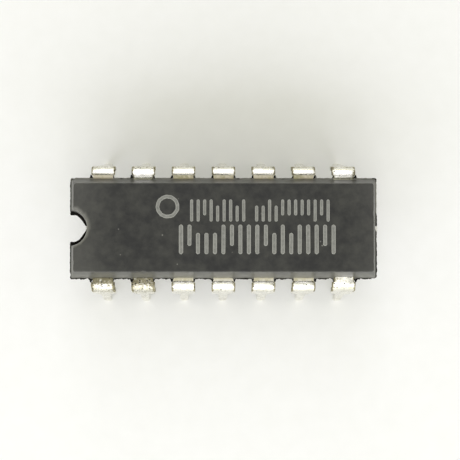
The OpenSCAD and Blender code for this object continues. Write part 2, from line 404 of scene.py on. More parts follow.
@dataclass(frozen=True)
class ResinFlash(Finish):
    """Thin flash that the clean resin leaves where the mould's halves meet.

    It holds little filler and breaks off ragged. Its near-black colour with hardly
    any shine is partly its own and partly painted shade: the shade under the parting line and in the notch.
    """

    name: str = "resin_flash_painted_shade"
    resin: str = "#0D0C0B"
    grime_and_shade: str = "#1D1A16"
    patch_mm: float = 0.5

    def shader(self, tree: NodeTree, place: NodeSocket) -> Node:
        """Adds the nodes of the flash, as Finish.shader says."""
        patch = add(tree, "TexNoise", {"Vector": place, "Scale": per(self.patch_mm), "Detail": 4.0})
        tone = add(tree, "MapRange", {"Value": patch, "From Min": 0.35, "From Max": 0.7})
        colour = add(tree, "Mix", {FACTOR: tone, A: self.resin, B: self.grime_and_shade}, data_type="RGBA")
        look = {"Base Color": colour, "Roughness": 0.85, "IOR": 1.5, "Specular IOR Level": 0.15}
        return add(tree, "BsdfPrincipled", look)


@dataclass(frozen=True)
class DippedSolder(Finish):
    """Tin-lead solder that the formed legs were dipped in.

    It is bright where it froze smooth, and duller and greyer where it has
    oxidised. Flux and dirt stay in its hollows as olive and black patches,
    which the value "grime_and_shade" of each point sets; the same olive also
    paints shade below the bend and across the +Y bends.
    """

    name: str = "tin_lead_solder_dipped"
    bright: str = "#F2F0E9"
    oxide: str = "#D6D4C8"
    flux: str = "#99937A"
    dirt: str = "#26231D"
    patch_mm: float = 0.7
    grit_mm: float = 0.12
    fleck_mm: float = 0.15
    roughness: float = 0.2

    def shader(self, tree: NodeTree, place: NodeSocket) -> Node:
        """Adds the nodes of the solder, as Finish.shader says."""
        grime_and_shade = add(tree, "Attribute", attribute_name="grime_and_shade", attribute_type="GEOMETRY").outputs["Fac"]
        patch, grit = (
            add(tree, "TexNoise", {"Vector": place, "Scale": per(size), "Detail": detail, "Roughness": rough})
            for size, detail, rough in ((self.patch_mm, 4.0, 0.6), (self.grit_mm, 3.0, 0.65))
        )
        dull = add(tree, "MapRange", {"Value": patch, "From Min": 0.42, "From Max": 0.75})
        metal = add(tree, "Mix", {FACTOR: dull, A: self.bright, B: self.oxide}, data_type="RGBA")
        uneven = add(tree, "Math", {0: grit, 1: 1.3, 2: -0.65}, operation="MULTIPLY_ADD")
        depth = add(tree, "Math", {0: grime_and_shade, 1: uneven}, operation="ADD")
        stained = add(tree, "MapRange", {"Value": depth, "From Min": 0.3, "From Max": 0.62})
        # Burnt flux in pits: the middles of some cells, black flecks 0.05 mm wide where grime_and_shade is
        # high.
        cells = add(tree, "TexVoronoi", {"Vector": place, "Scale": per(self.fleck_mm), "Randomness": 1.0})
        pick = add(tree, "SeparateColor", {"Color": cells.outputs["Color"]})
        few = add(tree, "Math", {0: grime_and_shade, 1: 0.55, 2: pick}, operation="MULTIPLY_ADD")
        here = add(tree, "MapRange", {"Value": few, "From Min": 0.98, "From Max": 1.06})
        near = add(tree, "MapRange", {"Value": cells, "From Min": 0.42, "From Max": 0.26})
        filthy = add(tree, "Math", {0: here, 1: near}, operation="MULTIPLY")
        # Olive flux, which also paints shade where the value grime_and_shade carries it.
        with_flux_and_shade = add(tree, "Mix", {FACTOR: stained, A: metal, B: self.flux}, data_type="RGBA")
        with_dirt = add(tree, "Mix", {FACTOR: filthy, A: with_flux_and_shade, B: self.dirt}, data_type="RGBA")
        span = {"Value": depth, "From Min": 0.1, "From Max": 0.8, "To Min": self.roughness, "To Max": 0.75}
        shine = add(tree, "MapRange", span)
        bare = add(tree, "Math", {0: 1.0, 1: filthy}, operation="SUBTRACT")
        bump = add(tree, "Bump", {"Height": grit, "Strength": 0.12, "Distance": 0.01 * MM})
        look = {"Base Color": with_dirt, "Metallic": bare, "Roughness": shine, "Normal": bump}
        return add(tree, "BsdfPrincipled", look)


@dataclass(frozen=True)
class PlatedSheet(Finish):
    """Nickel-iron lead-frame sheet with thin tin plating, punched and then heat stained.

    Beside the housing the plating is thin and baked, so the sheet turns from
    brown at the resin to a dull straw colour outwards, with olive blotches. A
    matt bloom of oxide on it scatters light, besides what the metal reflects.
    """

    name: str = "tin_plated_sheet_heat_stained"
    stained: str = "#5F5743"
    straw: str = "#EEE5CF"
    olive: str = "#C4BD98"
    plating: str = "#E2DECD"
    metallic: float = 0.5
    body_edge_mm: float = 3.12
    patch_mm: float = 0.3

    def shader(self, tree: NodeTree, place: NodeSocket) -> Node:
        """Adds the nodes of the plating, as Finish.shader says."""
        across = add(tree, "SeparateXYZ", {"Vector": place}).outputs["Y"]
        out = add(tree, "Math", {0: across}, operation="ABSOLUTE")
        pattern = {"Vector": place, "Scale": per(self.patch_mm), "Detail": 4.0, "Roughness": 0.6}
        patch = add(tree, "TexNoise", pattern)
        shift = add(tree, "Math", {0: patch, 1: 0.16 * MM, 2: out}, operation="MULTIPLY_ADD")
        blotch = add(tree, "MapRange", {"Value": patch, "From Min": 0.45, "From Max": 0.62})
        stain = add(tree, "Mix", {FACTOR: blotch, A: self.straw, B: self.olive}, data_type="RGBA")
        edge = self.body_edge_mm
        baked, clean = (
            add(tree, "MapRange", {"Value": shift, "From Min": start * MM, "From Max": stop * MM})
            for start, stop in ((edge + 0.07, edge + 0.2), (edge + 0.22, edge + 0.6))
        )
        warm = add(tree, "Mix", {FACTOR: baked, A: self.stained, B: stain}, data_type="RGBA")
        colour = add(tree, "Mix", {FACTOR: clean, A: warm, B: self.plating}, data_type="RGBA")
        rough = add(tree, "MapRange", {"Value": patch, "To Min": 0.4, "To Max": 0.65})
        bump = add(tree, "Bump", {"Height": patch, "Strength": 0.2, "Distance": 0.01 * MM})
        look = {"Base Color": colour, "Metallic": self.metallic, "Roughness": rough, "Normal": bump}
        return add(tree, "BsdfPrincipled", look)


@dataclass(frozen=True)
class GrainedSolid(Finish):
    """A finish of one substance whose colour and shine vary from grain to grain.

    Attributes:
        name: Name of the material, for the real substance.
        dark: Colour of its darker grains.
        pale: Colour of its paler grains.
        grain_mm: Width of a grain along each axis; unequal ones draw out lines, as rolling or brushing does.
        roughness: Roughness of the paler grains; the darker ones are rougher by a third.
        metallic: 1 for a metal, 0 for a glassy or resinous solid.
        bump_mm: Height of the grains.
    """

    name: str
    dark: str
    pale: str
    grain_mm: tuple[float, float, float]
    roughness: float
    metallic: float
    bump_mm: float = 0.002

    def shader(self, tree: NodeTree, place: NodeSocket) -> Node:
        """Adds the nodes of the substance, as Finish.shader says."""
        scaled = add(tree, "Mapping", {"Vector": place, "Scale": [per(size) for size in self.grain_mm]})
        grain = add(tree, "TexNoise", {"Vector": scaled, "Scale": 1.0, "Detail": 4.0})
        tone = add(tree, "MapRange", {"Value": grain, "From Min": 0.3, "From Max": 0.7})
        colour = add(tree, "Mix", {FACTOR: tone, A: self.dark, B: self.pale}, data_type="RGBA")
        span = {"Value": tone, "To Min": self.roughness * 4 / 3, "To Max": self.roughness}
        rough = add(tree, "MapRange", span)
        bump = add(tree, "Bump", {"Height": grain, "Strength": 0.5, "Distance": self.bump_mm * MM})
        look = {"Base Color": colour, "Metallic": self.metallic, "Roughness": rough, "Normal": bump}
        return add(tree, "BsdfPrincipled", look)


@dataclass(frozen=True)
class MarkingInk(Finish):
    """Grey epoxy ink, stamped on and baked.

    The stamp squeezes it outwards, so it is thicker and paler along the rim of
    a stroke, which the value "rim" of each point tells, and thin and uneven
    in the middle.
    """

    name: str = "baked_marking_ink"
    thin: str = "#74746F"
    full: str = "#8C8C86"
    rim: str = "#A2A29B"
    wear_mm: float = 0.22

    def shader(self, tree: NodeTree, place: NodeSocket) -> Node:
        """Adds the nodes of the ink, as Finish.shader says."""
        rim = add(tree, "Attribute", attribute_name="rim", attribute_type="GEOMETRY").outputs["Fac"]
        pattern = {"Vector": place, "Scale": per(self.wear_mm), "Detail": 4.0, "Roughness": 0.7}
        wear = add(tree, "TexNoise", pattern)
        tone = add(tree, "MapRange", {"Value": wear, "From Min": 0.35, "From Max": 0.65})
        middle = add(tree, "Mix", {FACTOR: tone, A: self.thin, B: self.full}, data_type="RGBA")
        colour = add(tree, "Mix", {FACTOR: rim, A: middle, B: self.rim}, data_type="RGBA")
        bump = add(tree, "Bump", {"Height": wear, "Strength": 0.3, "Distance": 0.006 * MM})
        return add(tree, "BsdfPrincipled", {"Base Color": colour, "Roughness": 0.6, "Normal": bump})


@dataclass(frozen=True)
class MattPaper(Finish):
    """Smooth matt paper under the object, plain and pale, with a faint unevenness of its fibres.

    From below it lets the view through, so that the underside can be seen.
    """

    name: str = "matt_paper"
    sheet: str = "#FAFAF8"
    fibre: str = "#F5F5F2"
    fibre_mm: float = 1.2

    def shader(self, tree: NodeTree, place: NodeSocket) -> Node:
        """Adds the nodes of the paper, as Finish.shader says."""
        fibre = add(tree, "TexNoise", {"Vector": place, "Scale": per(self.fibre_mm), "Detail": 5.0})
        colour = add(tree, "Mix", {FACTOR: fibre, A: self.sheet, B: self.fibre}, data_type="RGBA")
        paper = add(tree, "BsdfDiffuse", {"Color": colour, "Roughness": 0.0})
        below = add(tree, "NewGeometry").outputs["Backfacing"]
        return add(tree, "MixShader", {0: below, 1: paper, 2: add(tree, "BsdfTransparent")})


@dataclass(frozen=True)
class LeadRows:
    """Sizes of the two rows of leads that both the housing and the solder follow."""

    spacing: float = 2.54
    per_side: int = 7
    frame_z: float = 5.725
    root_w: float = 1.27
    shoulder_w: float = 1.46

    def places(self) -> Array:
        """Middles of one row's leads along the housing, from the notch's end."""
        return self.spacing * (np.arange(self.per_side) - (self.per_side - 1) / 2)


@dataclass
class Housing:
    """Moulded housing: two drafted halves on a parting band, with an index notch.

    Its length, width and heights come from the CAD solid that it replaces.

    Attributes:
        side_from: Points past this y, on either side, lie on the band's long sides.
        end_from: Points past this x, on either side, lie on the band's ends.
        clean_from: Above this y the right end's ledges are not painted dark and its flash is even.
        clean_side: Up to this y the ledge of the +Y side is not painted dark.
        clean_end: Up to this y the right end's ledges are not painted dark.
        corner_from: Points past this x and side_from lie on the corner that is painted dark.
        root_clear: Distance from a lead's middle up to which the flash is not painted dark.
        ragged_from: Past this x the flash of the -Y side is more ragged.
        gap_y: Middle of the gap in the right end's flash.
        root_half: Half the width in which a root presses the flash away.
        notch_draft: Draft of the notch's wall in degrees, like side_draft and end_draft.
    """

    lip: float = 0.08
    side_draft: float = 13.0
    end_draft: float = 9.5
    corner_r: float = 0.1
    corner_growth: float = 0.05
    edge_r: float = 0.06
    notch_depth: float = 1.05
    notch_r: float = 0.84
    notch_ledge: float = 0.03
    slope_flash: float = 0.12
    notch_draft: float = 4.0
    notch_rim_r: float = 0.25
    band_h: float = 0.25
    ejector_r: float = 0.9
    ejector_depth: float = 0.06
    ejector_x: float = 5.4
    side_from: float = 3.0
    end_from: float = 9.3
    clean_from: float = 0.9
    clean_side: float = 3.26
    clean_end: float = 3.05
    corner_from: float = 9.5
    root_clear: float = 0.58
    ragged_from: float = 5.9
    gap_y: float = -3.15
    root_half: float = 0.62
    leads: LeadRows = LeadRows()
    side_steps: int = 400
    end_steps: int = 56
    notch_steps: int = 72
    corner_steps: int = 9
    low: Vector = field(default_factory=lambda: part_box("body")[0] / MM)
    high: Vector = field(default_factory=lambda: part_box("body")[1] / MM)

    def half_profile(self, height: float) -> tuple[Array, Array, Array, Array]:
        """Section of one half, from its parting line outwards.

        The walls lean in by their draft and end in a quarter circle. The
        notch's wall leans out by its own draft and ends in the rounded rim.

        Args:
            height: Height of the half.

        Returns:
            Rise above the parting line, inset of the ends, inset of the sides
            and radius of the notch, one value for each level.
        """
        quarter = np.radians(np.linspace(0, 90, 8))
        lean = math.radians(self.notch_draft)
        rim_turn = np.linspace(lean, math.pi / 2, 14)
        levels = [
            np.linspace(0, height - self.notch_rim_r, 7),
            height - self.edge_r * (1 - np.sin(quarter)),
            height - self.notch_rim_r * (1 - np.sin(rim_turn)),
        ]
        rise = np.unique(np.concatenate(levels).round(4))
        over = np.clip((rise - height) / self.edge_r + 1, 0, 1)
        rounded = self.edge_r * (1 - np.sqrt(1 - over**2))
        drafts = math.radians(self.end_draft), math.radians(self.side_draft)
        ends, sides = (self.lip + rise * math.tan(draft) + rounded for draft in drafts)
        foot = self.notch_depth + self.notch_ledge
        wall_end = height - self.notch_rim_r * (1 - math.sin(lean))
        rim_x = foot + wall_end * math.tan(lean) + self.notch_rim_r * math.cos(lean)
        into = np.clip((rise - height) / self.notch_rim_r + 1, 0, 1)
        rim = rim_x - self.notch_rim_r * np.sqrt(1 - into**2)
        notch = np.where(rise < wall_end, foot + rise * math.tan(lean), rim)
        return rise, ends, sides, notch

    def outlines(
        self, end_inset: Array, side_inset: Array, corner: Array, notch: Array, axis_x: float
    ) -> Array:
        """Outlines of the housing at several levels, anticlockwise from the right end of the +Y side.

        Each is a rectangle with round corners. In its -X end is the notch: an
        arc about the notch's axis, run out straight to the end. Its points lie
        evenly along each run, so point k of one outline lies by point k of the next.

        Args:
            end_inset: Inset of both ends at each level.
            side_inset: Inset of both sides at each level.
            corner: Radius of the corners at each level.
            notch: Radius of the notch at each level.
            axis_x: Place of the notch's axis.

        Returns:
            Array of levels by points by x and y.
        """
        a = (self.high.x - self.low.x) / 2 - end_inset[:, None]
        b = (self.high.y - self.low.y) / 2 - side_inset[:, None]
        r, q = corner[:, None], notch[:, None]
        steps = (self.side_steps, self.end_steps, self.corner_steps, self.notch_steps)
        side, end, turn, along = (np.arange(count)[None, :] / count for count in steps)
        turn = turn * math.pi / 2

        straight = np.maximum(axis_x + a, 0)
        open_angle = np.arccos(np.clip((-a - axis_x) / q, 0, 1))
        along = (straight + q * open_angle) * (2 * along - 1)
        angle = np.minimum(np.abs(along) / q, open_angle)
        past = np.maximum(np.abs(along) - q * open_angle, 0)
        notch_x = axis_x + q * np.cos(angle) - past
        notch_y = -np.sign(along) * q * np.sin(angle)
        mouth = q * np.sin(open_angle)

        runs = [
            ((a - r) * (1 - 2 * side), b + 0 * side),
            (-(a - r) - r * np.sin(turn), b - r + r * np.cos(turn)),
            (-a + 0 * end, (b - r) * (1 - end) + mouth * end),
            (notch_x, notch_y),
            (-a + 0 * end, -mouth * (1 - end) - (b - r) * end),
            (-(a - r) - r * np.cos(turn), -(b - r) - r * np.sin(turn)),
            ((a - r) * (2 * side - 1), -b + 0 * side),
            (a - r + r * np.sin(turn), -(b - r) - r * np.cos(turn)),
            (a + 0 * end, (b - r) * (2 * end - 1)),
            (a - r + r * np.cos(turn), b - r + r * np.sin(turn)),
        ]
        x, y = (np.concatenate(each, axis=1) for each in zip(*runs))
        return self.ease_mouth(np.stack([x, y], axis=-1))

    def notch_span(self) -> tuple[int, int]:
        """Numbers of the first point of the notch's run and of the one after its last."""
        first = self.side_steps + self.corner_steps + self.end_steps
        return first, first + self.notch_steps

    def ease_mouth(self, outline: Array) -> Array:
        """Rounds the mouth's two corners: points near them move to their neighbours' mean, three times."""
        first, last = self.notch_span()
        number = np.arange(outline.shape[1])
        near = (np.minimum(np.abs(number - first), np.abs(number - last)) <= 2)[None, :, None]
        for _ in range(3):
            mean = (np.roll(outline, 1, axis=1) + 2 * outline + np.roll(outline, -1, axis=1)) / 4
            outline = np.where(near, mean, outline)
        return outline

    def from_root(self, x: Array) -> Array:
        """Distance along the housing from each point to the middle of the nearest lead."""
        return np.abs(x[:, None] - self.leads.places()).min(axis=1)

    def flash_share(self, foot: Array) -> Array:
        """How much of the parting band's width the flash fills: slow, quick and fine unevenness, summed.

        A table gives the mean share, the unevenness and the least and most
        share of each zone; a later zone counts over an earlier one. Inside the
        notch the flash is whole, at one corner it is broken away, and at the
        roots there is hardly any.

        Args:
            foot: Outline that the flash stands on, x and y.

        Returns:
            Share of the width at each point, up to 1.55.
        """
        step = np.linalg.norm(np.roll(foot, -1, axis=0) - foot, axis=1)
        place = np.cumsum(step) - step
        around = float(step.sum())
        uneven = 0.16 * ripple(place, around, 1.3, seed=11)
        uneven += 0.2 * ripple(place, around, 0.42, seed=12) + 0.12 * ripple(place, around, 0.16, seed=13)
        x, y = foot[:, 0], foot[:, 1]
        right = x > self.end_from
        zones = (
            (True, 1.1, 1.3, 0.3, 1.55),
            ((y < -self.side_from) & (x > self.ragged_from), 1.1, 1.9, 0.3, 1.55),
            ((y > self.side_from) | (right & (y > self.clean_from)), 1.2, 0.35, 0.3, 1.55),
            (right & (y < self.clean_from), 1.35, 0.9, 0.6, 1.55),
            (x < -self.end_from, 1.05, 0.4, 0.8, 1.3),
        )
        share = 0 * x
        for here, mean, ragged, least, most in zones:
            share = np.where(here, np.clip(mean + ragged * uneven, least, most), share)
        first, last = self.notch_span()
        number = np.arange(len(x))
        notch = smooth_step(number, first - 6, first) * smooth_step(number, last + 6, last)
        share = share * (1 - notch) + notch * np.clip(0.97 + 0.25 * uneven, 0.8, 1.1)
        gap = 0.7 * right * bell(y, self.gap_y, 0.14, power=4)
        at_root = 0.9 * (np.abs(y) > self.side_from) * bell(self.from_root(x), 0, self.root_half, power=16)
        return share * (1 - gap) * (1 - at_root)

    def rings(self) -> tuple[Array, int, int]:
        """Stack of outlines from the underside to the top face, and the first and last ring of the band.

        A few rings just inside each flat face keep the shading of that face even.
        """
        lower_h = self.leads.frame_z - self.band_h / 2 - self.low.z
        upper_h = self.high.z - self.leads.frame_z - self.band_h / 2
        halves = []
        for height, up in ((lower_h, -1), (upper_h, 1)):
            rise, ends, sides, notch = self.half_profile(height)
            inner = np.array([0.03, 0.1, 0.2, 0.3])
            rise = np.append(rise, rise[-1] + 0 * inner)
            ends, sides, notch = (np.append(each, each[-1] + inner) for each in (ends, sides, notch))
            corner = self.corner_r + self.corner_growth * rise / height
            flat = self.outlines(ends, sides, corner, notch, self.low.x)
            halves.append(lift(flat, self.leads.frame_z + up * (self.band_h / 2 + rise)))
        lower, upper = halves[0][::-1], halves[1]
        band = self.band(upper[0, :, :2])
        return np.concatenate([lower, band, upper]), len(lower), len(lower) + len(band) - 1

    def band(self, foot: Array) -> Array:
        """Rings of the parting band, from the foot outline towards the band's own by the flash's share.

        The band closes in on the notch round an axis of its own, so its ledge
        is widest at the mouth, and more flash stands on both slopes beside the
        tie bar, by 2.6 times t - t^3, which has a height of 1. Slivers of resin
        stay beside each root, where the dam bar stood.

        Args:
            foot: Outline that the band stands on.

        Returns:
            Array of rings by points by coordinates.
        """
        none = np.zeros(1)
        axis_x = self.low.x + self.notch_depth - self.notch_r
        edge = self.outlines(none, none, none + self.corner_r, none + self.notch_r, axis_x)[0]
        out = (edge - foot) * self.flash_share(foot)[:, None]
        first, last = self.notch_span()
        inwards = np.array([axis_x, 0]) - edge[first:last]
        far = np.linalg.norm(inwards, axis=1, keepdims=True)
        slope = np.clip(np.abs(edge[first:last, 1:]) / far, 0, 1)
        out[first:last] += inwards / far * self.slope_flash * 2.6 * slope * (1 - slope**2)
        beside = (self.leads.root_w + self.leads.shoulder_w) / 4
        roots = np.array([centre + side * beside for centre in self.leads.places() for side in (-1, 1)])
        sliver = bell(foot[:, :1], roots, 0.07, power=6).sum(axis=1)
        out[:, 1] += 0.2 * sliver * np.sign(foot[:, 1]) * (np.abs(foot[:, 1]) > self.side_from)
        share = np.array([0.0, 0.3, 0.7, 0.97, 1.0, 0.98, 0.66, 0.3, 0.0])
        level = np.array([-1.0, -0.99, -0.96, -0.6, 0.0, 0.6, 0.96, 0.99, 1.0]) * self.band_h / 2
        rings = lift(foot[None] + out[None] * share[:, None, None], self.leads.frame_z + level)
        rings[..., 2] += 0.012 * lumps(rings, 0.35, seed=14) * (share * (1 - share) > 0)[:, None]
        return rings[1:-1]

    def wear(self, rings: Array) -> Array:
        """Small dents: points near each one move inwards by its depth times a bell curve of their distance.

        The table gives each dent's place, radius and depth. Inwards is towards
        the nearest point of a core line along the housing.

        Args:
            rings: Rings of the housing.

        Returns:
            The rings with the dents.
        """
        table = [
            [-5.0, -2.86, 7.36, 0.16, 0.07],
            [-5.25, -2.9, 7.2, 0.1, 0.05],
            [-8.5, 2.9, 7.3, 0.14, 0.05],
            [3.6, -2.84, 7.42, 0.1, 0.04],
            [9.36, 0.9, 7.4, 0.12, 0.05],
            [9.4, -2.1, 7.3, 0.15, 0.05],
            [-9.38, -2.2, 7.35, 0.13, 0.05],
            [6.9, 2.85, 7.38, 0.09, 0.04],
            [-9.68, 3.18, 5.9, 0.19, 0.07],
            [-9.4, 2.84, 7.3, 0.2, 0.06],
            [-9.7, -2.93, 5.78, 0.1, 0.09],
        ]
        dents = np.array(table)
        away = rings[:, :, None, :] - dents[None, None, :, :3]
        depth = dents[:, 4] * bell(np.linalg.norm(away, axis=-1), 0, dents[:, 3])
        core = np.column_stack([dents[:, 0].clip(-7, 7), np.zeros(len(dents)), np.full(len(dents), 6.4)])
        inwards = core - dents[:, :3]
        inwards /= np.linalg.norm(inwards, axis=1, keepdims=True)
        return rings + np.einsum("rcd,di->rci", depth, inwards)

    def painted_sheen(self, rings: Array) -> Array:
        """How far each point is painted pale, as a painted sheen for the light that it catches.

        The ledges that are not painted dark most, then the other ledges and the notch's rim, then
        the foot of the -Y wall, the other walls little and the flat faces not at all.

        Args:
            rings: Rings of the housing.

        Returns:
            A value from 0 to 1 for each point.
        """
        x, y, z = np.moveaxis(rings, -1, 0)
        level = np.abs(z - self.leads.frame_z) - self.band_h / 2
        low = 1 - np.clip(level / 1.6, 0, 1)
        # Painted sheen on the walls: the -Y wall most, growing towards its foot, the +Y wall a little at its
        # foot, the right end hardly and the rest a little.
        wall_sheen = [0.02 + 0.42 * low, 0.13 * low**2, 0.02 + 0 * low]
        wall = np.select([y < -2.6, y > 2.6, x > 9.2], wall_sheen, 0.12)
        wall += 0.03 * lumps(rings, 0.6, seed=15)
        # The ledges are painted paler still, the ones that are not painted dark most.
        ledge = level < 0.01
        wall[ledge] = 0.5
        wall[ledge & ((y > self.side_from) | ((x > self.end_from) & (y > self.clean_from)))] = 0.7
        depth = np.minimum(self.high.z - z, z - self.low.z)
        edge = smooth_step(depth, 0.002, 0.03)
        # The notch's rim is painted paler too, as a painted highlight.
        first, last = self.notch_span()
        notch = slice(first - 3, last + 3)
        away = np.hypot(x - self.low.x, y)[:, notch] - self.notch_depth - self.notch_ledge
        upper = np.clip(y[:, notch] / 0.8, -1, 1)
        reach = 0.46 + 0.09 * upper
        rim = 1 - smooth_step(away / reach, 0.25, 1.0)
        rim = (0.5 - 0.12 * upper) * rim + 0.05 * lumps(rings[:, notch], 0.4, seed=16)
        at_rim = smooth_step(depth[:, notch], 0.45, 0.2)
        wall[:, notch] = 0.2 + (rim - 0.2) * at_rim
        edge[:, notch] = smooth_step(reach, away - 0.001, away + 0.02)
        return np.clip(wall, 0, 1) * edge

    def cut_ejector_marks(self, piece: Object) -> None:
        """Cuts the two round ejector marks into the underside with a Boolean, which is then applied.

        Each cutter is a disc: rings of a circle, a little narrower at its top edge.
        """
        turn = np.linspace(0, 2 * math.pi, 64, endpoint=False)
        circle = np.stack([np.cos(turn), np.sin(turn)], axis=-1)
        radius = self.ejector_r - np.array([0, 0, 0.012, 0.03])
        level = self.low.z + np.array([-0.3, *(self.ejector_depth - np.array([0.03, 0.01, 0]))])
        flat = circle[None] * radius[:, None, None]
        discs = [Shell(lift(flat + np.array([x, 0]), level)) for x in (-self.ejector_x, self.ejector_x)]
        cutter = make_piece("ejector_pins", discs, [piece.data.materials[0]])
        cut = piece.modifiers.new("ejector_marks", "BOOLEAN")
        cut.operation, cut.solver, cut.object = "DIFFERENCE", "EXACT", cutter
        seen = piece.evaluated_get(bpy.context.evaluated_depsgraph_get())
        plain, piece.data = piece.data, bpy.data.meshes.new_from_object(seen)
        piece.modifiers.clear()
        bpy.data.meshes.remove(plain)
        bpy.data.objects.remove(cutter)
        piece.data.name = piece.name
        piece.data.set_sharp_from_angle(angle=math.radians(SHARP_ANGLE))

    def build(self) -> Object:
        """Makes the housing and lets it replace the CAD solid.

        Returns:
            The housing.
        """
        rings, band_from, band_to = self.rings()
        rings = self.wear(rings)
        finish = np.zeros((rings.shape[0] - 1, rings.shape[1]), int)
        # Painted shade: near-black flash on the outer part of the band's two ledges and their edges, not at
        # the roots.
        # On the +Y side and on the right end above clean_from only the slivers and the corner have it.
        x, y = rings[(band_from + band_to) // 2, :, :2].T
        side, right = np.abs(y) > self.side_from, x > self.end_from
        clean = side & (y > 0) & (y < self.clean_side)
        clean = clean | (right & (y > self.clean_from) & (y < self.clean_end))
        root = side & (self.from_root(x) < self.root_clear)
        corner = (x > self.corner_from) & (y > self.side_from)
        painted_dark = (~clean & ~root) | corner
        finish[band_from : band_from + 2, painted_dark] = 1
        finish[band_to - 2 : band_to, painted_dark] = 1
        first, last = self.notch_span()
        # The notch's ledges are painted near-black too: painted shade in the notch.
        finish[band_from - 1, first:last] = 1
        finish[band_to, first:last] = 1
        finishes = [FilledEpoxy().material(), ResinFlash().material()]
        piece = make_piece("moulded_body", [Shell(rings, finish, self.painted_sheen(rings))], finishes, "painted_sheen")
        self.cut_ejector_marks(piece)
        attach(piece, BODY)
        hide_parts("body")
        report(piece)
        return piece


class SolderState(Enum):
    """How the solder on a leg looks, by the values that __init__ names."""

    CLEAN = (0.002, 0.0005, 0.0, 0.12, 0.0)
    SPECKED = (0.003, 0.0015, 0.2, 0.1, 0.0)
    WET = (0.002, 0.0008, 0.04, -0.1, 0.026)
    FLOODED = (0.006, 0.0015, 0.2, -0.2, 0.13)
    ROUGH = (0.012, 0.004, 0.6, -0.15, 0.05)

    def __init__(self, lump: float, grit: float, grime_and_shade: float, start: float, rise: float) -> None:
        """Names the five values of a state.

        Args:
            lump: Height of its broad lumps.
            grit: Height of its fine lumps.
            grime_and_shade: Share of flux and dirt on it, to which each point adds its painted shade.
            start: Distance from the housing to where it starts.
            rise: How much thicker it is where it meets the housing.
        """
        self.lump, self.grit, self.grime_and_shade, self.start, self.rise = lump, grit, grime_and_shade, start, rise


